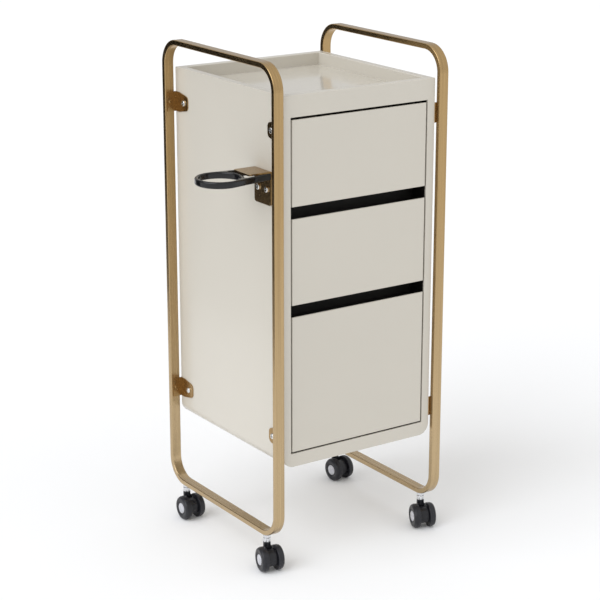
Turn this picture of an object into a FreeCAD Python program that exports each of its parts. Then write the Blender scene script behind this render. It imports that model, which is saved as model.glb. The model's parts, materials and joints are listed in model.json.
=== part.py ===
import FreeCAD, Part
import math
import os
from FreeCAD import Vector

# A three-drawer rolling trolley for a salon: a lacquered cabinet with a recessed top tray hangs
# between two closed loops of rectangular brass tube, on four twin-wheel castors. A black ring on the
# left side holds a hair dryer. Millimetres, +Z up, drawers open towards -Y. The origin is on the
# floor, midway between the two loops and between the front and back castors.

# Side loops: rectangular tube bent into an upright rounded rectangle in the Y-Z plane
LOOP_SPAN = 386.0
LOOP_DEPTH = 392.0
LOOP_HEIGHT = 900.0
LOOP_BOTTOM = 68.0
LOOP_CORNER = 50.0
TUBE_WIDTH = 20.0
TUBE_THICK = 10.5
TUBE_WALL = 1.2
TUBE_EDGE = 1.8

# Cabinet carcass
CABINET_WIDTH = 338.0
CABINET_DEPTH = 374.0
CABINET_BOTTOM = 208.0
CABINET_TOP = 910.0
SIDE_THICK = 16.5
FLOOR_THICK = 26.5
BOTTOM_CORNER = 22.0
EDGE_ROUND = 1.5
OPENING_ROUND = 0.8
FRONT_RAIL_HEIGHT = 40.0
RIM_THICK = 16.0
TRAY_RECESS = 24.0
TRAY_PANEL_THICK = 10.0
BACK_PANEL_THICK = 5.0
BACK_PANEL_INSET = 4.0

# Drawers, from the top down
REVEAL = 3.0
TOP_REVEAL = 4.3
FINGER_SLOT = 22.5
TOP_DRAWER_HEIGHT = 158.7
MIDDLE_DRAWER_HEIGHT = 162.0
FRONT_THICK = 18.0
FRONT_BEVEL = 15.0
DRAWER_SIDE_THICK = 12.0
DRAWER_FLOOR_THICK = 6.0
DRAWER_FLOOR_RAISED = 6.0
DRAWER_BOX_LENGTH = 300.0
BOX_TOP_CLEARANCE = 19.0

# Black channels behind the finger slots
CHANNEL_OVERLAP = 14.0
CHANNEL_DEPTH = 27.0
CHANNEL_WALL = 2.0
CHANNEL_SETBACK = 2.0
BOX_TO_CHANNEL = 6.0

# Three-member ball runners, one pair per drawer
RUNNER_LENGTH = 300.0
RUNNER_GAP = 13.0
RUNNER_WALL = 1.2
RUNNER_SETBACK = 4.0
OUTER_MEMBER = {"height": 42.0, "near_wall": 0.0, "reach": 9.6}
MIDDLE_MEMBER = {"height": 37.0, "near_wall": 2.0, "reach": 10.6}
INNER_MEMBER = {"height": 28.0, "near_wall": 5.0, "reach": 13.0}
RUNNER_ABOVE_BOX_FLOOR = 34.0

# Brackets that hold the cabinet to the loops
EAR_HEIGHT = 38.0
EAR_TIP_HEIGHT = 26.0
EAR_REACH = 46.0
EAR_SQUARE_REACH = 14.0
EAR_THICK = 2.0
EAR_SCREW_REACH = 32.0
EAR_CENTRES_Z = (264.0, 844.0)
EAR_LEG_WIDTH = 18.0
EAR_TIP_ROUND = 9.0

# Dryer holder on the left side
HOLDER_CENTRE_Y = -124.0
HOLDER_PLATE_WIDTH = 54.0
HOLDER_PLATE_REACH = 49.0
HOLDER_PLATE_THICK = 3.0
HOLDER_TOP_Z = 769.0
HOLDER_LEG_BOTTOM_Z = 705.0
HOLDER_SCREW_Z = 734.0
HOLDER_SCREW_SPACING = 28.0
HOLDER_CORNER = 5.0
RING_OUTER_RADIUS = 44.5
RING_WALL = 7.0
RING_HEIGHT = 12.5
RING_EDGE = 3.3
RING_CENTRE_X = -263.0
ARM_SPACING = 50.0

# Screws and rivets
SHANK_RADIUS = 2.0
SHANK_HOLE_RADIUS = 2.05
SCREW_LENGTH = 14.0
SCREW_HEAD_RADIUS = 5.6
SCREW_HEAD_HEIGHT = 3.2
SCREW_HEAD_ROUND = 1.9
SCREW_CROSS_WIDTH = 1.4
SCREW_CROSS_REACH = 3.4
SCREW_CROSS_DEPTH = 1.8
SCREW_TURN = 23.0
RIVET_HEAD_RADIUS = 3.4
RIVET_HEAD_HEIGHT = 1.6
RIVET_HEAD_ROUND = 1.1
RIVET_LENGTH = 4.0

# Castors
CASTOR_X = 183.0
CASTOR_Y = 149.0
CASTOR_TRAIL = 15.0
WHEEL_RADIUS = 24.0
WHEEL_INNER_FACE = 9.5
WHEEL_OUTER_FACE = 22.3
WHEEL_SHOULDER = 4.5
WHEEL_TREAD_EDGE = 17.0
WHEEL_INNER_ROUND = 1.0
TREAD_STEP = 0.7
FACE_DISH = 1.2
FACE_RIM = 3.0
CAP_BORDER = 2.5
AXLE_RADIUS = 3.0
AXLE_BORE_RADIUS = 3.05
AXLE_HALF_LENGTH = 19.2
CAP_RADIUS = 10.5
CAP_SEAT_RADIUS = 10.55
CAP_SEAT = 19.6
CAP_EDGE = 1.2
HOOD_RADIUS = 17.0
HOOD_HALF_WIDTH = 9.1
HOOD_MOUTH_Z = 12.0
COLLAR_RADIUS = 7.25
COLLAR_BOTTOM_Z = 45.0
COLLAR_TOP_Z = 53.0
STEM_SHOULDER_RADIUS = 7.25
STEM_SHOULDER_BOTTOM_Z = 53.3
STEM_SHOULDER_TOP_Z = 61.0
STEM_HEX_BOTTOM_Z = 62.5
STEM_HEX_FLATS = 14.0
STEM_RADIUS = 4.0
STEM_BORE_RADIUS = 4.05
STEM_FOOT_Z = 32.0
NUT_SIZE = 12.0
NUT_THICK = 6.0
NUT_CLEARANCE = 0.1
THREAD_PAST_NUT = 1.0
# Each castor's corner and the angle it has swivelled to, turning about +Z
CASTORS = {
    "front_left": (-1, -1, -11.0),
    "front_right": (1, -1, -19.0),
    "back_left": (-1, 1, -1.0),
    "back_right": (1, 1, 3.0),
}

# How far a cutting shape runs past the surface it cuts, and how close counts as the same place
OVERRUN = 1.0
SAME = 1e-3

# Worked out from the sizes above
UP = Vector(0, 0, 1)
CABINET_X = CABINET_WIDTH / 2
CABINET_Y = CABINET_DEPTH / 2
INSIDE_X = CABINET_X - SIDE_THICK
OPENING_BOTTOM = CABINET_BOTTOM + FLOOR_THICK
OPENING_TOP = CABINET_TOP - FRONT_RAIL_HEIGHT
TRAY_Y = CABINET_Y - RIM_THICK
FRONT_BACK_FACE_Y = -CABINET_Y + FRONT_THICK
BOX_X = INSIDE_X - RUNNER_GAP
TOP_DRAWER_TOP = OPENING_TOP - TOP_REVEAL
TOP_DRAWER_BOTTOM = TOP_DRAWER_TOP - TOP_DRAWER_HEIGHT
MIDDLE_DRAWER_TOP = TOP_DRAWER_BOTTOM - FINGER_SLOT
MIDDLE_DRAWER_BOTTOM = MIDDLE_DRAWER_TOP - MIDDLE_DRAWER_HEIGHT
BOTTOM_DRAWER_TOP = MIDDLE_DRAWER_BOTTOM - FINGER_SLOT
BOTTOM_DRAWER_BOTTOM = OPENING_BOTTOM + REVEAL
LOOP_OUTER_X = LOOP_SPAN / 2
LOOP_INNER_X = LOOP_OUTER_X - TUBE_WIDTH
UPRIGHT_INNER_Y = LOOP_DEPTH / 2 - TUBE_THICK
CLEAR_OF_CHANNEL = CHANNEL_OVERLAP + BOX_TO_CHANNEL
# Each drawer: bottom and top of its front, then bottom and top of its box
DRAWERS = {
    "drawer_top": (
        TOP_DRAWER_BOTTOM,
        TOP_DRAWER_TOP,
        TOP_DRAWER_BOTTOM + CLEAR_OF_CHANNEL,
        TOP_DRAWER_TOP - BOX_TOP_CLEARANCE,
    ),
    "drawer_middle": (
        MIDDLE_DRAWER_BOTTOM,
        MIDDLE_DRAWER_TOP,
        MIDDLE_DRAWER_BOTTOM + CLEAR_OF_CHANNEL,
        MIDDLE_DRAWER_TOP - CLEAR_OF_CHANNEL,
    ),
    "drawer_bottom": (
        BOTTOM_DRAWER_BOTTOM,
        BOTTOM_DRAWER_TOP,
        BOTTOM_DRAWER_BOTTOM + BOX_TO_CHANNEL,
        BOTTOM_DRAWER_TOP - CLEAR_OF_CHANNEL,
    ),
}


# ---- helpers ----


def block(x_range, y_range, z_range):
    """A box between two values on each axis."""
    low = Vector(min(x_range), min(y_range), min(z_range))
    high = Vector(max(x_range), max(y_range), max(z_range))
    size = high - low
    return Part.makeBox(size.x, size.y, size.z, low)


def rod(start, end, radius):
    """A cylinder from one point to another."""
    start, end = Vector(start), Vector(end)
    return Part.makeCylinder(radius, (end - start).Length, start, end - start)


def prism(points, direction):
    """A flat outline pushed along a direction."""
    corners = [Vector(*p) for p in points]
    return Part.Face(Part.makePolygon(corners + corners[:1])).extrude(Vector(*direction))


def rounded(shape, radius, choose):
    """The shape with those of its edges rounded whose middle point passes the test."""
    edges = [e for e in shape.Edges if choose(e.CenterOfGravity, e)]
    return shape.makeFillet(radius, edges)


def near(value, target):
    return abs(value - target) < SAME


def mirrored_x(shape):
    return shape.mirror(Vector(0, 0, 0), Vector(1, 0, 0))


def both_sides(shape):
    """The shape and its mirror image across the trolley's middle plane."""
    return [shape, mirrored_x(shape)]


def save(name, solids):
    """Writes one sub-part: a single solid, or a group of separate ones."""
    shape = solids if isinstance(solids, Part.Shape) else Part.makeCompound(solids)
    shape.exportStep(f"parts/{name}.step")


# ---- cabinet ----


def carcass():
    """The whole lacquered outer body before it is divided: sides, floor and rim, edges rounded."""
    body = block((-CABINET_X, CABINET_X), (-CABINET_Y, CABINET_Y), (CABINET_BOTTOM, CABINET_TOP))
    body = rounded(
        body,
        BOTTOM_CORNER,
        lambda c, e: near(c.z, CABINET_BOTTOM) and near(abs(c.x), CABINET_X),
    )
    inside = (-INSIDE_X, INSIDE_X)
    body = body.cut(block(inside, (-CABINET_Y, CABINET_Y), (OPENING_BOTTOM, OPENING_TOP)))
    body = body.cut(block(inside, (-TRAY_Y, TRAY_Y), (OPENING_TOP, CABINET_TOP)))

    def on_rim(c, e):
        return near(c.z, CABINET_TOP)

    def on_outside(c, e):
        at_end = near(abs(c.y), CABINET_Y)
        return at_end and (abs(c.x) > INSIDE_X + SAME or c.z < OPENING_BOTTOM - SAME)

    def on_opening(c, e):
        on_side = near(abs(c.x), INSIDE_X) or near(c.z, OPENING_BOTTOM) or near(c.z, OPENING_TOP)
        return near(c.y, -CABINET_Y) and on_side and c.z < CABINET_TOP - SAME

    body = rounded(body, EDGE_ROUND, lambda c, e: on_rim(c, e) or on_outside(c, e))
    return rounded(body, OPENING_ROUND, on_opening)


def cabinet_wrap(body):
    """Sides and floor in one U, with the pilot holes for the bracket screws."""
    middle = block((-INSIDE_X, INSIDE_X), (-CABINET_Y, CABINET_Y), (OPENING_BOTTOM, CABINET_TOP))
    wrap = body.cut(middle)
    for x, y, z in panel_screw_places():
        side = math.copysign(1, x)
        wrap = wrap.cut(rod((x, y, z), (x - side * SCREW_LENGTH, y, z), SHANK_HOLE_RADIUS))
    return wrap


def rim_rail(body, front):
    """The rail that closes the tray's front or back between the two sides."""
    y = (-CABINET_Y, -TRAY_Y) if front else (TRAY_Y, CABINET_Y)
    return body.common(block((-INSIDE_X, INSIDE_X), y, (OPENING_TOP - OVERRUN, CABINET_TOP)))


def tray_panel():
    top = CABINET_TOP - TRAY_RECESS
    return block((-INSIDE_X, INSIDE_X), (-TRAY_Y, TRAY_Y), (top - TRAY_PANEL_THICK, top))


def back_panel():
    outer = CABINET_Y - BACK_PANEL_INSET
    inner = outer - BACK_PANEL_THICK
    return block((-INSIDE_X, INSIDE_X), (inner, outer), (OPENING_BOTTOM, OPENING_TOP))


def finger_channel(slot_bottom, slot_top):
    """A channel open to the front that lines the space behind a finger slot."""
    front = FRONT_BACK_FACE_Y + CHANNEL_SETBACK
    back = front + CHANNEL_DEPTH
    low = slot_bottom - CHANNEL_OVERLAP
    high = slot_top + CHANNEL_OVERLAP
    across = (-INSIDE_X, INSIDE_X)
    hollow = block(
        across,
        (front, back - CHANNEL_WALL),
        (low + CHANNEL_WALL, high - CHANNEL_WALL),
    )
    return block(across, (front, back), (low, high)).cut(hollow)


# ---- drawers and runners ----


def at_back(edge):
    """Whether an edge of a drawer front lies along its back face."""
    return near(edge.CenterOfGravity.y, FRONT_BACK_FACE_Y)


def drawer_front(bottom, top):
    """An inset front whose top is bevelled down towards the back, as a finger pull."""
    half = INSIDE_X - REVEAL
    panel = block((-half, half), (-CABINET_Y, FRONT_BACK_FACE_Y), (bottom, top))
    panel = rounded(panel, EDGE_ROUND, lambda c, e: near(c.y, -CABINET_Y))
    upper_back = [e for e in panel.Edges if near(e.CenterOfGravity.z, top) and at_back(e)]
    return panel.makeChamfer(FRONT_BEVEL, upper_back)


def drawer_side(box_bottom, box_top):
    y = (FRONT_BACK_FACE_Y, FRONT_BACK_FACE_Y + DRAWER_BOX_LENGTH)
    board = block((BOX_X - DRAWER_SIDE_THICK, BOX_X), y, (box_bottom, box_top))
    return rounded(board, OPENING_ROUND, lambda c, e: near(c.z, box_top))


def drawer_back(box_bottom, box_top):
    half = BOX_X - DRAWER_SIDE_THICK
    end = FRONT_BACK_FACE_Y + DRAWER_BOX_LENGTH
    return block((-half, half), (end - DRAWER_SIDE_THICK, end), (box_bottom, box_top))


def drawer_floor(box_bottom):
    half = BOX_X - DRAWER_SIDE_THICK
    end = FRONT_BACK_FACE_Y + DRAWER_BOX_LENGTH - DRAWER_SIDE_THICK
    low = box_bottom + DRAWER_FLOOR_RAISED
    return block((-half, half), (FRONT_BACK_FACE_Y, end), (low, low + DRAWER_FLOOR_THICK))


def runner_member(centre_z, member, faces_drawer):
    """One C-shaped runner member on the right; its web is at the wall side or the drawer side."""
    half = member["height"] / 2
    wall_x = INSIDE_X - member["near_wall"]
    drawer_x = INSIDE_X - member["reach"]
    start = FRONT_BACK_FACE_Y + RUNNER_SETBACK
    y = (start, start + RUNNER_LENGTH)
    hollow_x = (wall_x, drawer_x + RUNNER_WALL) if faces_drawer else (wall_x - RUNNER_WALL, drawer_x)
    z = (centre_z - half, centre_z + half)
    hollow = block(hollow_x, y, (z[0] + RUNNER_WALL, z[1] - RUNNER_WALL))
    return block((drawer_x, wall_x), y, z).cut(hollow)


# ---- loops and brackets ----


def loop_outline(inset, x, depth):
    """A rounded rectangle in the Y-Z plane, inset from the loop's outside, pushed along +X."""
    half = LOOP_DEPTH / 2 - inset
    low = LOOP_BOTTOM + inset
    high = LOOP_BOTTOM + LOOP_HEIGHT - inset
    blank = block((x, x + depth), (-half, half), (low, high))
    return rounded(
        blank,
        LOOP_CORNER - inset,
        lambda c, e: near(abs(c.y), half) and (near(c.z, low) or near(c.z, high)),
    )


def tube_hollow(inset):
    """The space inside the right loop's tube, this far in from its outside."""
    x = LOOP_INNER_X + inset
    depth = TUBE_WIDTH - 2 * inset
    return loop_outline(inset, x, depth).cut(loop_outline(TUBE_THICK - inset, x, depth))


def side_loop():
    """The right loop: hollow tube, drilled below for the castor stems and inside for the rivets."""
    tube = loop_outline(0, LOOP_INNER_X, TUBE_WIDTH)
    tube = tube.cut(loop_outline(TUBE_THICK, LOOP_INNER_X, TUBE_WIDTH))
    tube = rounded(
        tube,
        TUBE_EDGE,
        lambda c, e: near(c.x, LOOP_INNER_X) or near(c.x, LOOP_OUTER_X),
    )
    tube = tube.cut(tube_hollow(TUBE_WALL))
    for y in (-CASTOR_Y, CASTOR_Y):
        low = (CASTOR_X, y, LOOP_BOTTOM - OVERRUN)
        tube = tube.cut(rod(low, (CASTOR_X, y, LOOP_BOTTOM + TUBE_THICK / 2), STEM_BORE_RADIUS))
    for x, y, z in rivet_places():
        inward = -math.copysign(1, y)
        past_wall = (x, y - inward * (TUBE_WALL + OVERRUN), z)
        tube = tube.cut(rod((x, y, z), past_wall, SHANK_HOLE_RADIUS))
    return tube


def rivet_places():
    """Where the rivets meet the right loop's inner faces."""
    x = (LOOP_INNER_X + LOOP_OUTER_X) / 2
    return [(x, y, z) for y in (-UPRIGHT_INNER_Y, UPRIGHT_INNER_Y) for z in EAR_CENTRES_Z]


def ear_bracket(front, centre_z):
    """One angle plate on the right: its ear lies on the cabinet side, its leg on the upright."""
    start = UPRIGHT_INNER_Y
    half, tip = EAR_HEIGHT / 2, EAR_TIP_HEIGHT / 2
    end = start - EAR_REACH
    x = CABINET_X
    outline = [
        (x, start, centre_z - half),
        (x, start - EAR_SQUARE_REACH, centre_z - half),
        (x, end, centre_z - tip),
        (x, end, centre_z + tip),
        (x, start - EAR_SQUARE_REACH, centre_z + half),
        (x, start, centre_z + half),
    ]
    ear = prism(outline, (EAR_THICK, 0, 0))
    ear = rounded(ear, EAR_TIP_ROUND, lambda c, e: near(c.y, end) and not near(c.z, centre_z))
    leg = block(
        (x, x + EAR_THICK + EAR_LEG_WIDTH),
        (start - EAR_THICK, start),
        (centre_z - half, centre_z + half),
    )
    plate = ear.fuse(leg).removeSplitter()
    plate = rounded(
        plate,
        EAR_THICK,
        lambda c, e: near(c.x, x) and near(c.y, start),
    )
    screw_y = start - EAR_SCREW_REACH
    inner, outer = x - OVERRUN, x + EAR_THICK + OVERRUN
    plate = plate.cut(rod((inner, screw_y, centre_z), (outer, screw_y, centre_z), SHANK_HOLE_RADIUS))
    rivet_x, back = (LOOP_INNER_X + LOOP_OUTER_X) / 2, start - EAR_THICK - OVERRUN
    plate = plate.cut(rod((rivet_x, back, centre_z), (rivet_x, start, centre_z), SHANK_HOLE_RADIUS))
    return plate.mirror(Vector(0, 0, 0), Vector(0, 1, 0)) if front else plate


def ear_brackets():
    return [ear_bracket(front, z) for front in (True, False) for z in EAR_CENTRES_Z]


# ---- screws and rivets ----


def pan_screw():
    """A cross-head screw along +X: the head's seat is at x = 0 and the shank runs to -X."""
    head = Part.makeCylinder(SCREW_HEAD_RADIUS, SCREW_HEAD_HEIGHT, Vector(0, 0, 0), Vector(1, 0, 0))
    head = rounded(head, SCREW_HEAD_ROUND, lambda c, e: near(c.x, SCREW_HEAD_HEIGHT))
    shank = rod((-SCREW_LENGTH, 0, 0), (0, 0, 0), SHANK_RADIUS)
    long, short = SCREW_CROSS_REACH, SCREW_CROSS_WIDTH / 2
    depth = (SCREW_HEAD_HEIGHT - SCREW_CROSS_DEPTH, SCREW_HEAD_HEIGHT)
    cross = block(depth, (-long, long), (-short, short))
    cross = cross.fuse(block(depth, (-short, short), (-long, long)))
    return head.fuse(shank).removeSplitter().cut(cross)


def holder_screw_places():
    x = -(CABINET_X + HOLDER_PLATE_THICK)
    half = HOLDER_SCREW_SPACING / 2
    return [(x, HOLDER_CENTRE_Y - half, HOLDER_SCREW_Z), (x, HOLDER_CENTRE_Y + half, HOLDER_SCREW_Z)]


def ear_screw_places():
    """Where the screw heads seat on the ears, on both sides."""
    x = CABINET_X + EAR_THICK
    y = UPRIGHT_INNER_Y - EAR_SCREW_REACH
    return [(sx * x, sy * y, z) for sx in (-1, 1) for sy in (-1, 1) for z in EAR_CENTRES_Z]


def panel_screw_places():
    return ear_screw_places() + holder_screw_places()


def panel_screws():
    """All ten cabinet screws, heads outwards, each cross turned a little differently."""
    screws = []
    for number, (x, y, z) in enumerate(panel_screw_places()):
        screw = pan_screw()
        screw.rotate(Vector(0, 0, 0), Vector(1, 0, 0), SCREW_TURN * number)
        screw = screw if x > 0 else mirrored_x(screw)
        screw.translate(Vector(x, y, z))
        screws.append(screw)
    return screws


def frame_rivets():
    """Domed rivets through the bracket legs into the loops' inner walls."""
    rivets = []
    for x, y, z in rivet_places():
        inward = -math.copysign(1, y)
        seat_y = y + inward * EAR_THICK
        head = Part.makeCylinder(
            RIVET_HEAD_RADIUS, RIVET_HEAD_HEIGHT, Vector(x, seat_y, z), Vector(0, inward, 0)
        )
        head = rounded(
            head,
            RIVET_HEAD_ROUND,
            lambda c, e: near(c.y, seat_y + inward * RIVET_HEAD_HEIGHT),
        )
        shank = rod((x, seat_y - inward * RIVET_LENGTH, z), (x, seat_y, z), SHANK_RADIUS)
        rivets.extend(both_sides(head.fuse(shank).removeSplitter()))
    return rivets


# ---- dryer holder ----


def holder_bracket():
    """Angle plate: one leg on the cabinet side, the other standing out over the ring's arms."""
    panel_x = -CABINET_X
    y = (HOLDER_CENTRE_Y - HOLDER_PLATE_WIDTH / 2, HOLDER_CENTRE_Y + HOLDER_PLATE_WIDTH / 2)
    thick = HOLDER_PLATE_THICK
    upright = block((panel_x - thick, panel_x), y, (HOLDER_LEG_BOTTOM_Z, HOLDER_TOP_Z))
    shelf_end = panel_x - HOLDER_PLATE_REACH
    shelf = block((shelf_end, panel_x), y, (HOLDER_TOP_Z - thick, HOLDER_TOP_Z))
    plate = upright.fuse(shelf).removeSplitter()
    plate = rounded(plate, thick, lambda c, e: near(c.x, panel_x) and near(c.z, HOLDER_TOP_Z))

    def corner(c, e):
        at_foot = near(c.z, HOLDER_LEG_BOTTOM_Z) and near(c.x, panel_x - thick / 2)
        at_end = near(c.x, shelf_end) and near(c.z, HOLDER_TOP_Z - thick / 2)
        return at_foot or at_end

    plate = rounded(plate, HOLDER_CORNER, corner)
    for x, screw_y, z in holder_screw_places():
        inner, outer = x + thick + OVERRUN, x - OVERRUN
        plate = plate.cut(rod((outer, screw_y, z), (inner, screw_y, z), SHANK_HOLE_RADIUS))
    return plate


def holder_ring():
    """A moulded band ring under the bracket's shelf, with two straight arms back to the cabinet."""
    bottom = HOLDER_TOP_Z - HOLDER_PLATE_THICK - RING_HEIGHT
    top = bottom + RING_HEIGHT
    centre = Vector(RING_CENTRE_X, HOLDER_CENTRE_Y, bottom)
    root_x = -(CABINET_X + HOLDER_PLATE_THICK)
    run = root_x - RING_CENTRE_X
    offset = ARM_SPACING / 2
    middle_radius = RING_OUTER_RADIUS - RING_WALL / 2
    angle = math.acos(middle_radius / math.hypot(run, offset)) + math.atan2(offset, run)
    arms = []
    for side in (-1, 1):
        outward = Vector(math.cos(angle), side * math.sin(angle), 0)
        touch = centre + outward * middle_radius
        root = Vector(root_x, HOLDER_CENTRE_Y + side * offset, bottom)
        past_root = root + (root - touch).normalize() * RING_WALL
        half = outward * (RING_WALL / 2)
        outline = [touch - half, touch + half, past_root + half, past_root - half]
        arms.append(prism(outline, (0, 0, RING_HEIGHT)))
    ring = Part.makeCylinder(RING_OUTER_RADIUS, RING_HEIGHT, centre).fuse(arms).removeSplitter()
    ring = ring.cut(Part.makeCylinder(RING_OUTER_RADIUS - RING_WALL, RING_HEIGHT, centre))
    ring = ring.cut(block((root_x, 0), (-CABINET_Y, CABINET_Y), (bottom, top)))

    def in_crook(c, e):
        upright = near(e.BoundBox.ZMax - e.BoundBox.ZMin, RING_HEIGHT)
        return upright and c.x < root_x - SAME and abs(c.y - HOLDER_CENTRE_Y) < middle_radius - RING_WALL

    ring = rounded(ring, RING_WALL / 2, in_crook)
    return rounded(
        ring,
        RING_EDGE,
        lambda c, e: (near(c.z, bottom) or near(c.z, top)) and c.x < root_x - SAME,
    )


# ---- castors ----


def placed(shape, castor):
    """Moves a piece made about its castor's own axle to its corner, swivelled to its angle."""
    side_x, side_y, angle = CASTORS[castor]
    shape = shape.copy()
    shape.translate(Vector(0, -CASTOR_TRAIL, 0))
    shape.rotate(Vector(0, 0, 0), UP, angle)
    shape.translate(Vector(side_x * CASTOR_X, side_y * CASTOR_Y, 0))
    return shape


def castor_hood():
    """The nylon body between the wheels, open below, with the collar that turns on the stem."""
    centre = Vector(-HOOD_HALF_WIDTH, 0, WHEEL_RADIUS)
    web = Part.makeCylinder(HOOD_RADIUS, 2 * HOOD_HALF_WIDTH, centre, Vector(1, 0, 0))
    reach = HOOD_HALF_WIDTH + OVERRUN
    web = web.cut(block((-reach, reach), (-HOOD_RADIUS, HOOD_RADIUS), (0, HOOD_MOUTH_Z)))
    web = rounded(web, OPENING_ROUND, lambda c, e: near(abs(c.x), HOOD_HALF_WIDTH))
    collar = rod((0, CASTOR_TRAIL, WHEEL_RADIUS), (0, CASTOR_TRAIL, COLLAR_TOP_Z), COLLAR_RADIUS)
    collar = rounded(collar, OPENING_ROUND, lambda c, e: near(c.z, COLLAR_TOP_Z))
    neck_y = (CASTOR_TRAIL - COLLAR_RADIUS, CASTOR_TRAIL)
    neck = block((-COLLAR_RADIUS, COLLAR_RADIUS), neck_y, (WHEEL_RADIUS, COLLAR_BOTTOM_Z))
    hood = web.fuse([neck, collar]).removeSplitter()
    foot = STEM_FOOT_Z - OVERRUN
    hood = hood.cut(rod((0, CASTOR_TRAIL, foot), (0, CASTOR_TRAIL, COLLAR_TOP_Z), STEM_BORE_RADIUS))
    return hood.cut(rod((-reach, 0, WHEEL_RADIUS), (reach, 0, WHEEL_RADIUS), AXLE_BORE_RADIUS))


def castor_axle():
    half = AXLE_HALF_LENGTH
    return rod((-half, 0, WHEEL_RADIUS), (half, 0, WHEEL_RADIUS), AXLE_RADIUS)


def turned(profile):
    """A solid of revolution about the axle from (x, radius) corners."""
    corners = [Vector(x, 0, WHEEL_RADIUS + radius) for x, radius in profile]
    face = Part.Face(Part.makePolygon(corners + corners[:1]))
    return face.revolve(Vector(0, 0, WHEEL_RADIUS), Vector(1, 0, 0), 360)


def castor_wheel():
    """The wheel on the +X side: raised tread, rounded shoulder, dished face and a cap seat."""
    side_radius = WHEEL_RADIUS - TREAD_STEP
    dish = WHEEL_OUTER_FACE - FACE_DISH
    wheel = turned(
        [
            (WHEEL_INNER_FACE, AXLE_BORE_RADIUS),
            (WHEEL_INNER_FACE, WHEEL_RADIUS),
            (WHEEL_TREAD_EDGE, WHEEL_RADIUS),
            (WHEEL_TREAD_EDGE, side_radius),
            (WHEEL_OUTER_FACE, side_radius),
            (WHEEL_OUTER_FACE, side_radius - WHEEL_SHOULDER - FACE_RIM),
            (dish, CAP_RADIUS + CAP_BORDER),
            (dish, CAP_SEAT_RADIUS),
            (CAP_SEAT, CAP_SEAT_RADIUS),
            (CAP_SEAT, AXLE_BORE_RADIUS),
        ]
    )

    def rim(x, radius):
        top = WHEEL_RADIUS + radius
        return lambda c, e: near(c.x, x) and near(e.BoundBox.ZMax, top)

    wheel = rounded(wheel, WHEEL_SHOULDER, rim(WHEEL_OUTER_FACE, side_radius))
    wheel = rounded(wheel, WHEEL_INNER_ROUND, rim(WHEEL_INNER_FACE, WHEEL_RADIUS))
    return rounded(wheel, TREAD_STEP / 2, rim(WHEEL_TREAD_EDGE, WHEEL_RADIUS))


def castor_cap():
    """The domed hub cap, seated in the wheel and clear of the axle's end."""
    cap = rod((CAP_SEAT, 0, WHEEL_RADIUS), (WHEEL_OUTER_FACE, 0, WHEEL_RADIUS), CAP_RADIUS)
    return rounded(cap, CAP_EDGE, lambda c, e: near(c.x, WHEEL_OUTER_FACE))


def castor_stems():
    """Steel stems: a shoulder, a hexagon shaped to the tube, a thread into it and a pin below."""
    corner = STEM_HEX_FLATS / math.sqrt(3)
    turns = [math.radians(60 * i) for i in range(6)]
    tube = loop_outline(0, LOOP_INNER_X, TUBE_WIDTH)
    thread_top = LOOP_BOTTOM + TUBE_WALL + NUT_THICK + THREAD_PAST_NUT
    stems = []
    for y in (-CASTOR_Y, CASTOR_Y):
        x = CASTOR_X
        outline = [
            (x + corner * math.cos(a), y + corner * math.sin(a), STEM_HEX_BOTTOM_Z) for a in turns
        ]
        hexagon = prism(outline, (0, 0, LOOP_BOTTOM + TUBE_THICK / 2 - STEM_HEX_BOTTOM_Z)).cut(tube)
        low, high = (x, y, STEM_SHOULDER_BOTTOM_Z), (x, y, STEM_SHOULDER_TOP_Z)
        shoulder = rod(low, high, STEM_SHOULDER_RADIUS)
        shoulder = rounded(shoulder, OPENING_ROUND, lambda c, e: near(c.z, STEM_SHOULDER_TOP_Z))
        pin = rod((x, y, STEM_FOOT_Z), (x, y, thread_top), STEM_RADIUS)
        stems += both_sides(hexagon.fuse([shoulder, pin]).removeSplitter())
    return stems


def castor_nuts():
    """Square nuts inside the tube that the stems screw into, formed to the tube's bend."""
    half = NUT_SIZE / 2
    low = LOOP_BOTTOM
    space = tube_hollow(TUBE_WALL + NUT_CLEARANCE)
    nuts = []
    for y in (-CASTOR_Y, CASTOR_Y):
        x = CASTOR_X
        high = low + TUBE_WALL + NUT_THICK
        nut = block((x - half, x + half), (y - half, y + half), (low, high)).common(space)
        nuts += both_sides(nut.cut(rod((x, y, low), (x, y, high), STEM_BORE_RADIUS)))
    return nuts


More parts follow.
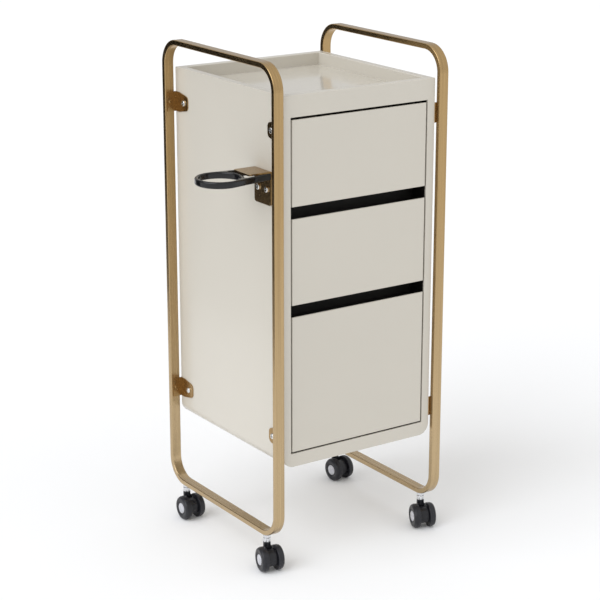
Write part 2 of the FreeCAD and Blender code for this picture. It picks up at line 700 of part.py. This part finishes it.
def main():
    os.makedirs("parts", exist_ok=True)
    body = carcass()
    save("cabinet_wrap", cabinet_wrap(body))
    save("front_rail", rim_rail(body, front=True))
    save("back_rail", rim_rail(body, front=False))
    save("tray_panel", tray_panel())
    save("back_panel", back_panel())
    slots = [(MIDDLE_DRAWER_TOP, TOP_DRAWER_BOTTOM), (BOTTOM_DRAWER_TOP, MIDDLE_DRAWER_BOTTOM)]
    save("finger_channels", [finger_channel(low, high) for low, high in slots])

    fixed_members = []
    for name, (bottom, top, box_bottom, box_top) in DRAWERS.items():
        runner_z = box_bottom + RUNNER_ABOVE_BOX_FLOOR
        save(f"{name}_front", drawer_front(bottom, top))
        save(f"{name}_sides", both_sides(drawer_side(box_bottom, box_top)))
        save(f"{name}_back", drawer_back(box_bottom, box_top))
        save(f"{name}_floor", drawer_floor(box_bottom))
        save(f"{name}_runner_inner", both_sides(runner_member(runner_z, INNER_MEMBER, True)))
        save(f"{name}_runner_middle", both_sides(runner_member(runner_z, MIDDLE_MEMBER, False)))
        fixed_members += both_sides(runner_member(runner_z, OUTER_MEMBER, False))
    save("runner_outer_members", fixed_members)

    right_loop = side_loop()
    right_brackets = ear_brackets()
    save("loop_right", right_loop)
    save("loop_left", mirrored_x(right_loop))
    save("ear_brackets_right", right_brackets)
    save("ear_brackets_left", [mirrored_x(bracket) for bracket in right_brackets])
    save("panel_screws", panel_screws())
    save("frame_rivets", frame_rivets())
    save("dryer_holder_bracket", holder_bracket())
    save("dryer_holder_ring", holder_ring())

    save("castor_stems", castor_stems())
    save("castor_nuts", castor_nuts())
    wheel, cap = castor_wheel(), castor_cap()
    for castor in CASTORS:
        save(f"castor_{castor}_hood", placed(castor_hood(), castor))
        save(f"castor_{castor}_axle", placed(castor_axle(), castor))
        save(f"castor_{castor}_wheel_right", placed(wheel, castor))
        save(f"castor_{castor}_wheel_left", placed(mirrored_x(wheel), castor))
        save(f"castor_{castor}_cap_right", placed(cap, castor))
        save(f"castor_{castor}_cap_left", placed(mirrored_x(cap), castor))


main()
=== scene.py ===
import json
import math

import bpy
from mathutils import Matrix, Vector


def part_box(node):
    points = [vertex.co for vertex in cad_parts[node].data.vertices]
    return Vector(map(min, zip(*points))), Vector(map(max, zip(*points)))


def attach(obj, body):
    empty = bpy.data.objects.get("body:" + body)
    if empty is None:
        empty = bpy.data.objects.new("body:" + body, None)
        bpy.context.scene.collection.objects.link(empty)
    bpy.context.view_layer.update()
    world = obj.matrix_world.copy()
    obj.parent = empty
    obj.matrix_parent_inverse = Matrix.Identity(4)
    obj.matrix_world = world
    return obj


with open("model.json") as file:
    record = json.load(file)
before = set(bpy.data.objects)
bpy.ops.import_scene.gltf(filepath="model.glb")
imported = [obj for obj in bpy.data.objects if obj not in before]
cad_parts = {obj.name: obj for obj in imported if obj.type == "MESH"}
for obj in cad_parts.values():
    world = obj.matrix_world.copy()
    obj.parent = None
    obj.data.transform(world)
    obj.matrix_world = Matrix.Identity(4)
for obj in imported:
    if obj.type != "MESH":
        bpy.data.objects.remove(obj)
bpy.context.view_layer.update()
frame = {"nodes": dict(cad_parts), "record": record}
NODES = frame["nodes"]
SCENE = bpy.context.scene

# Camera: where it stands, where it points and its lens
CAMERA_PLACE = Vector((-1.9417, -2.8757, 1.5162))
CAMERA_YAW = math.radians(33.93)
CAMERA_PITCH = math.radians(16.9)
CAMERA_LENS = 111.6
CAMERA_REACH = 200.0

# Light: the sky's strength, how it grows with height and falls towards the back, and the sun
SKY_LEVEL = 0.70
SKY_RISE = 0.20
SKY_FALL_TO_BACK = 0.15
SUN_STRENGTH = 1.45
SUN_FROM = (-0.78, -0.10, 0.62)
SUN_SPREAD = math.radians(55.0)
SUN_COLOUR = (0.97, 1.0, 1.06)

# Floor, and two dark cards on the left that only reflections see: (name, bottom, top, grey level)
FLOOR_HALF = 40.0
FLOOR_COLOUR = (0.93, 0.93, 0.93)
CARD_X = -0.75
CARD_NEAR_Y = 0.25
CARD_FAR_Y = 2.40
DARK_CARDS = (("card_left", 0.42, 1.40, 0.03), ("card_left_low", 0.10, 0.42, 0.20))

# Finishes, as linear colours
CREAM = (0.580, 0.545, 0.474)
# The tube's brass, paler low down and browner high up: a painted reflection of its surroundings, blended
# between the two heights below.
BRASS_PAINTED_PALE_LOW = (0.500, 0.372, 0.215)
BRASS_PAINTED_BROWN_HIGH = (0.435, 0.295, 0.138)
# The bracket brass is darker than the tube's: painted shade for the dark reflections on the ear brackets.
BRACKET_BRASS_PAINTED_DARK = (0.400, 0.260, 0.115)
BOARD = (0.560, 0.530, 0.460)
# Heights over which the tube's painted reflection turns from pale to brown
PAINTED_REFLECTION_FROM_Z = 0.20
PAINTED_REFLECTION_TO_Z = 0.70
BLACK = (0.006, 0.005, 0.004)

# Screw heads in the drawer runners: the members' sheet thickness, each head's outline from its seat
# outwards as (distance from the seat, radius), and where they sit along the member
RUNNER_WALL = 0.0012
HEAD_PROFILE = (
    (0.0, 0.0032),
    (0.0005, 0.0032),
    (0.0011, 0.0028),
    (0.0014, 0.0021),
    (0.0014, 0.0013),
    (0.0006, 0.0005),
)
HEAD_STEPS = 32
HEAD_SHARP_ANGLE = math.radians(35)
SCREW_SHARES = (0.08, 0.45, 0.82)

# Inside of the cabinet, coloured black behind its front edges: painted shade for the deep drawer opening
# and the gaps round the drawers
SHADE_PAINT_SETBACK = 0.004
SHADE_PAINT_MARGIN = 0.0001
INSIDE_FRONT_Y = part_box("front_rail")[0][1] + SHADE_PAINT_SETBACK
INSIDE_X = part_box("front_rail")[1][0] + SHADE_PAINT_MARGIN
INSIDE_BACK_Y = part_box("back_panel")[0][1] + SHADE_PAINT_MARGIN
INSIDE_BOTTOM_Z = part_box("back_panel")[0][2] - SHADE_PAINT_MARGIN
INSIDE_TOP_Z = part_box("back_panel")[1][2] + SHADE_PAINT_MARGIN


# ---- node helpers ----


class Shader:
    """A material's node tree with short calls for the nodes that the finishes share."""

    def __init__(self, name):
        self.material = bpy.data.materials.new(name)
        self.material.use_nodes = True
        self.tree = self.material.node_tree
        self.bsdf = self.tree.nodes["Principled BSDF"]
        self.place = self.tree.nodes.new("ShaderNodeTexCoord").outputs["Object"]

    def node(self, kind, **settings):
        made = self.tree.nodes.new(kind)
        for key, value in settings.items():
            setattr(made, key, value)
        return made

    def link(self, source, target):
        self.tree.links.new(source, target)

    def stretched(self, scale):
        """The object's coordinates, scaled by different amounts along X, Y and Z."""
        mapping = self.node("ShaderNodeMapping")
        mapping.inputs["Scale"].default_value = scale
        self.link(self.place, mapping.inputs["Vector"])
        return mapping.outputs["Vector"]

    def noise(self, scale, detail=4.0, roughness=0.5, vector=None):
        made = self.node("ShaderNodeTexNoise")
        made.inputs["Scale"].default_value = scale
        made.inputs["Detail"].default_value = detail
        made.inputs["Roughness"].default_value = roughness
        self.link(self.place if vector is None else vector, made.inputs["Vector"])
        return made.outputs["Fac"]

    def spread(self, value, low, high, start=0.3, end=0.7):
        """value between start and end, carried over to low and high."""
        made = self.node("ShaderNodeMapRange")
        made.inputs["From Min"].default_value = start
        made.inputs["From Max"].default_value = end
        made.inputs["To Min"].default_value = low
        made.inputs["To Max"].default_value = high
        self.link(value, made.inputs["Value"])
        return made.outputs["Result"]

    def feed(self, value, target):
        """Links a socket to an input, or sets the input to a fixed number or colour."""
        if isinstance(value, tuple):
            target.default_value = (*value, 1.0)
        elif isinstance(value, float):
            target.default_value = value
        else:
            self.link(value, target)

    def tint(self, factor, first, second):
        """A colour between two, by a factor; each is a fixed colour or another node's."""
        made = self.node("ShaderNodeMix", data_type="RGBA")
        for value, name in ((factor, "Factor"), (first, "A"), (second, "B")):
            self.feed(value, made.inputs[name])
        return made.outputs["Result"]

    def axes(self):
        made = self.node("ShaderNodeSeparateXYZ")
        self.link(self.place, made.inputs["Vector"])
        return made.outputs["X"], made.outputs["Y"], made.outputs["Z"]

    def math(self, operation, *values):
        made = self.node("ShaderNodeMath", operation=operation)
        for value, target in zip(values, made.inputs):
            self.feed(value, target)
        return made.outputs["Value"]

    def between(self, value, low, high):
        """1 where the value is between two limits, and 0 elsewhere."""
        above = self.math("GREATER_THAN", value, low)
        return self.math("MULTIPLY", above, self.math("LESS_THAN", value, high))

    def cream(self):
        return self.tint(self.spread(self.noise(3.0), 0.0, 1.0), shade(CREAM, 0.985), shade(CREAM, 1.015))

    def colour(self, socket):
        self.link(socket, self.bsdf.inputs["Base Color"])

    def rough(self, socket):
        self.link(socket, self.bsdf.inputs["Roughness"])

    def bump(self, height, distance, strength=1.0):
        made = self.node("ShaderNodeBump")
        made.inputs["Distance"].default_value = distance
        made.inputs["Strength"].default_value = strength
        self.link(height, made.inputs["Height"])
        self.link(made.outputs["Normal"], self.bsdf.inputs["Normal"])

    def set(self, **values):
        for key, value in values.items():
            self.bsdf.inputs[key.replace("_", " ")].default_value = value


def shade(colour, factor):
    return tuple(c * factor for c in colour)


# ---- finishes ----
# Noise scales are per metre, and the pairs of numbers are lowest and highest roughness.


def lacquer(name, low=0.30, high=0.38, coat_rough=0.16, shade_painted_inside=False):
    """Sprayed cream lacquer; with the inside flag set, every face inside the drawer opening is coloured
    black as painted shade.
    """
    s = Shader(name)
    s.colour(s.tint(painted_shade_inside_mask(s), s.cream(), BLACK) if shade_painted_inside else s.cream())
    s.rough(s.spread(s.noise(14.0), low, high))
    s.bump(s.noise(650.0, detail=2.0), 0.00004, 0.5)
    s.set(Coat_Weight=0.35, Coat_Roughness=coat_rough)
    return s.material


def painted_shade_inside_mask(s):
    """1 inside the drawer opening, behind its front edges and in front of the back panel's outside: where
    painted shade is coloured in black.
    """
    x, y, z = s.axes()
    across = s.math("LESS_THAN", s.math("ABSOLUTE", x), INSIDE_X)
    along = s.between(y, INSIDE_FRONT_Y, INSIDE_BACK_Y)
    up = s.between(z, INSIDE_BOTTOM_Z, INSIDE_TOP_Z)
    return s.math("MULTIPLY", s.math("MULTIPLY", across, along), up)


def board():
    s = Shader("drawer_board")
    s.colour(s.tint(s.spread(s.noise(220.0, detail=6.0), 0.0, 1.0), shade(BOARD, 0.95), shade(BOARD, 1.04)))
    s.rough(s.spread(s.noise(40.0), 0.48, 0.6))
    s.bump(s.noise(1500.0, detail=3.0), 0.00005, 0.6)
    return s.material


def brushed_brass():
    """Brass tube with fine brush lines running along it; its colour is painted paler low down and browner
    higher up, a painted reflection of its surroundings.
    """
    s = Shader("brushed_brass")
    streaks = s.noise(1.0, detail=3.0, vector=s.stretched((2600.0, 14.0, 14.0)))
    bands = s.spread(s.noise(1.0, detail=2.0, vector=s.stretched((420.0, 3.0, 3.0))), 0.0, 1.0)
    # Painted reflection: the tube's colour turns from pale to brown with height.
    height = s.spread(s.axes()[2], 0.0, 1.0, start=PAINTED_REFLECTION_FROM_Z, end=PAINTED_REFLECTION_TO_Z)
    pale, brown = (s.tint(bands, shade(c, 0.90), shade(c, 1.08)) for c in (BRASS_PAINTED_PALE_LOW, BRASS_PAINTED_BROWN_HIGH))
    s.colour(s.tint(height, pale, brown))
    s.rough(s.spread(streaks, 0.18, 0.30))
    s.bump(streaks, 0.00003, 0.4)
    s.set(Metallic=1.0)
    return s.material


def satin_brass():
    """Pressed plate in the same brass, coloured darker as painted shade for its dark reflections, with a
    finer, directionless grain.
    """
    s = Shader("satin_brass")
    patches = s.spread(s.noise(60.0, detail=5.0, roughness=0.6), 0.0, 1.0)
    # Darker base colour: painted shade.
    s.colour(s.tint(patches, shade(BRACKET_BRASS_PAINTED_DARK, 0.86), BRACKET_BRASS_PAINTED_DARK))
    s.rough(s.spread(s.noise(180.0), 0.20, 0.28))
    s.bump(s.noise(1400.0, detail=2.0), 0.00001, 0.15)
    s.set(Metallic=1.0)
    return s.material


def bright_metal(name, colour, low, high):
    s = Shader(name)
    s.colour(s.tint(s.spread(s.noise(90.0), 0.0, 1.0), shade(colour, 0.92), shade(colour, 1.05)))
    s.rough(s.spread(s.noise(400.0, detail=5.0), low, high))
    s.bump(s.noise(1200.0, detail=4.0), 0.00003, 0.4)
    s.set(Metallic=1.0)
    return s.material


def runner_steel():
    s = Shader("runner_steel")
    lines = s.noise(1.0, detail=4.0, vector=s.stretched((900.0, 12.0, 900.0)))
    s.colour(s.tint(s.spread(lines, 0.0, 1.0), (0.40, 0.41, 0.43), (0.60, 0.61, 0.64)))
    s.rough(s.spread(lines, 0.28, 0.42))
    s.bump(lines, 0.00003, 0.5)
    s.set(Metallic=1.0)
    return s.material


def black_paint(name, base, low, high):
    s = Shader(name)
    s.colour(s.tint(s.spread(s.noise(70.0), 0.0, 1.0), shade(base, 0.8), shade(base, 1.25)))
    s.rough(s.spread(s.noise(30.0), low, high))
    s.bump(s.noise(700.0, detail=2.0), 0.00003, 0.3)
    s.set(Specular_IOR_Level=0.4)
    return s.material


def moulded(name, base, low, high, grain):
    s = Shader(name)
    s.colour(s.tint(s.spread(s.noise(120.0, detail=5.0), 0.0, 1.0), shade(base, 0.85), shade(base, 1.2)))
    s.rough(s.spread(s.noise(160.0, detail=5.0), low, high))
    s.bump(s.noise(grain, detail=3.0), 0.00003, 0.4)
    s.set(Specular_IOR_Level=0.4)
    return s.material


def make_finishes():
    return {
        "cream_lacquer": lacquer("cream_lacquer"),
        "drawer_board": board(),
        "black_channel": black_paint("black_channel", BLACK, 0.55, 0.65),
        "runner_steel": runner_steel(),
        "brushed_brass": brushed_brass(),
        "satin_brass": satin_brass(),
        "bright_screws": bright_metal("bright_screws", (0.78, 0.78, 0.77), 0.10, 0.22),
        "gloss_black": black_paint("gloss_black", (0.006, 0.006, 0.007), 0.12, 0.20),
        "plated_steel": bright_metal("plated_steel", (0.72, 0.73, 0.75), 0.14, 0.28),
        "wheel_black": moulded("wheel_black", (0.014, 0.014, 0.018), 0.30, 0.42, 1800.0),
        "hood_black": moulded("hood_black", (0.009, 0.009, 0.012), 0.26, 0.36, 1400.0),
        "cap_grey": moulded("cap_grey", (0.50, 0.50, 0.53), 0.34, 0.48, 1500.0),
    }


def finish_nodes(finishes):
    """Gives every CAD node its finish; the carcass has painted shade, black inside its drawer opening, and
    the tray has a glossier floor.
    """
    # The carcass material colours the drawer opening black inside: painted shade.
    carcass = lacquer("carcass_lacquer_painted_shade", shade_painted_inside=True)
    special = dict.fromkeys(("cabinet_wrap", "front_rail", "back_rail", "back_panel"), carcass)
    special["tray_panel"] = lacquer("tray_lacquer", low=0.14, high=0.20, coat_rough=0.06)
    for part in frame["record"]["subparts"]:
        name = part["node"]
        piece = NODES[name]
        piece.data.materials.clear()
        piece.data.materials.append(special.get(name, finishes[part["material_slot"]]))


# ---- runner screws ----


def screw_heads(name, seats, side):
    """Flat domed heads with a countersunk drive hole, on seats that face +X or -X."""
    verts, faces = [], []
    for seat in seats:
        first = len(verts)
        for out, radius in HEAD_PROFILE:
            for step in range(HEAD_STEPS):
                turn = math.tau * step / HEAD_STEPS
                offset = Vector((side * out, radius * math.cos(turn), radius * math.sin(turn)))
                verts.append(seat + offset)
        for ring in range(len(HEAD_PROFILE) - 1):
            low = first + ring * HEAD_STEPS
            for step in range(HEAD_STEPS):
                after = (step + 1) % HEAD_STEPS
                quad = (low + step, low + after, low + HEAD_STEPS + after, low + HEAD_STEPS + step)
                faces.append(quad if side > 0 else quad[::-1])
        bottom = tuple(range(first, first + HEAD_STEPS))
        last = first + (len(HEAD_PROFILE) - 1) * HEAD_STEPS
        top = tuple(range(last, last + HEAD_STEPS))
        faces += [bottom[::-1], top] if side > 0 else [bottom, top[::-1]]
    mesh = bpy.data.meshes.new(name)
    mesh.from_pydata(verts, [], faces)
    mesh.shade_smooth()
    mesh.set_sharp_from_angle(angle=HEAD_SHARP_ANGLE)
    made = bpy.data.objects.new(name, mesh)
    SCENE.collection.objects.link(made)
    return made


def runner_screws(finish):
    """Three screws hold each drawer-side runner member to its board, down in the member's channel."""
    for drawer in ("drawer_top", "drawer_middle", "drawer_bottom"):
        low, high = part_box(f"{drawer}_runner_inner")
        board_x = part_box(f"{drawer}_sides")[1][0]
        for word, side in (("left", -1), ("right", 1)):
            x = side * (board_x + RUNNER_WALL)
            y, z = low[1], (low[2] + high[2]) / 2
            seats = [Vector((x, y + share * (high[1] - y), z)) for share in SCREW_SHARES]
            heads = screw_heads(f"{drawer}_runner_screws_{word}", seats, side)
            heads.data.materials.append(finish)
            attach(heads, drawer)


# ---- studio ----


def card(name, corners, colour):
    """A flat stage piece with its own plain material."""
    mesh = bpy.data.meshes.new(name)
    mesh.from_pydata(corners, [], [(0, 1, 2, 3)])
    made = bpy.data.objects.new(name, mesh)
    SCENE.collection.objects.link(made)
    s = Shader(name)
    s.colour(s.tint(s.spread(s.noise(0.6), 0.0, 1.0), shade(colour, 0.995), colour))
    s.set(Roughness=1.0, Specular_IOR_Level=0.0)
    mesh.materials.append(s.material)
    return made


def dark_card(name, corners, level):
    """A dark card that only reflections see: it gives the metal its dark sides."""
    made = card(name, corners, (level, level, level))
    made.visible_camera = False
    made.visible_diffuse = False
    made.visible_shadow = False
    made.visible_transmission = False


def studio_cards():
    half = FLOOR_HALF
    card("floor", [(-half, -half, 0), (half, -half, 0), (half, half, 0), (-half, half, 0)], FLOOR_COLOUR)
    for name, low, high, level in DARK_CARDS:
        along = ((CARD_NEAR_Y, low), (CARD_FAR_Y, low), (CARD_FAR_Y, high), (CARD_NEAR_Y, high))
        dark_card(name, [(CARD_X, y, z) for y, z in along], level)


def studio_lights():
    """An even white sky, a little darker towards the back, and one broad soft sun from the left."""
    world = bpy.data.worlds.new("studio_sky")
    SCENE.world = world
    world.use_nodes = True
    nodes, links = world.node_tree.nodes, world.node_tree.links
    split = nodes.new("ShaderNodeSeparateXYZ")
    links.new(nodes.new("ShaderNodeTexCoord").outputs["Generated"], split.inputs["Vector"])
    rise, fall = (nodes.new("ShaderNodeMath") for _ in range(2))
    for step, axis, slope in ((rise, "Z", SKY_RISE), (fall, "Y", -SKY_FALL_TO_BACK)):
        step.operation = "MULTIPLY_ADD"
        links.new(split.outputs[axis], step.inputs[0])
        step.inputs[1].default_value = slope
    rise.inputs[2].default_value = SKY_LEVEL
    links.new(rise.outputs["Value"], fall.inputs[2])
    links.new(fall.outputs["Value"], nodes["Background"].inputs["Strength"])
    nodes["Background"].inputs["Color"].default_value = (1.0, 1.0, 1.0, 1.0)

    sun = bpy.data.lights.new("sun", "SUN")
    sun.energy = SUN_STRENGTH
    sun.angle = SUN_SPREAD
    sun.color = SUN_COLOUR
    made = bpy.data.objects.new("sun", sun)
    SCENE.collection.objects.link(made)
    made.rotation_mode = "QUATERNION"
    made.rotation_quaternion = (-Vector(SUN_FROM)).to_track_quat("-Z", "Y")


def place_camera():
    camera = bpy.data.objects.new("camera", bpy.data.cameras.new("camera"))
    SCENE.collection.objects.link(camera)
    camera.data.lens = CAMERA_LENS
    camera.data.clip_end = CAMERA_REACH
    flat = math.cos(CAMERA_PITCH)
    ahead = Vector((math.sin(CAMERA_YAW) * flat, math.cos(CAMERA_YAW) * flat, -math.sin(CAMERA_PITCH)))
    camera.location = CAMERA_PLACE
    camera.rotation_mode = "QUATERNION"
    camera.rotation_quaternion = ahead.to_track_quat("-Z", "Y")
    SCENE.camera = camera


def main():
    finishes = make_finishes()
    finish_nodes(finishes)
    runner_screws(finishes["plated_steel"])
    studio_cards()
    studio_lights()
    place_camera()
    SCENE.view_settings.view_transform = "Standard"


main()
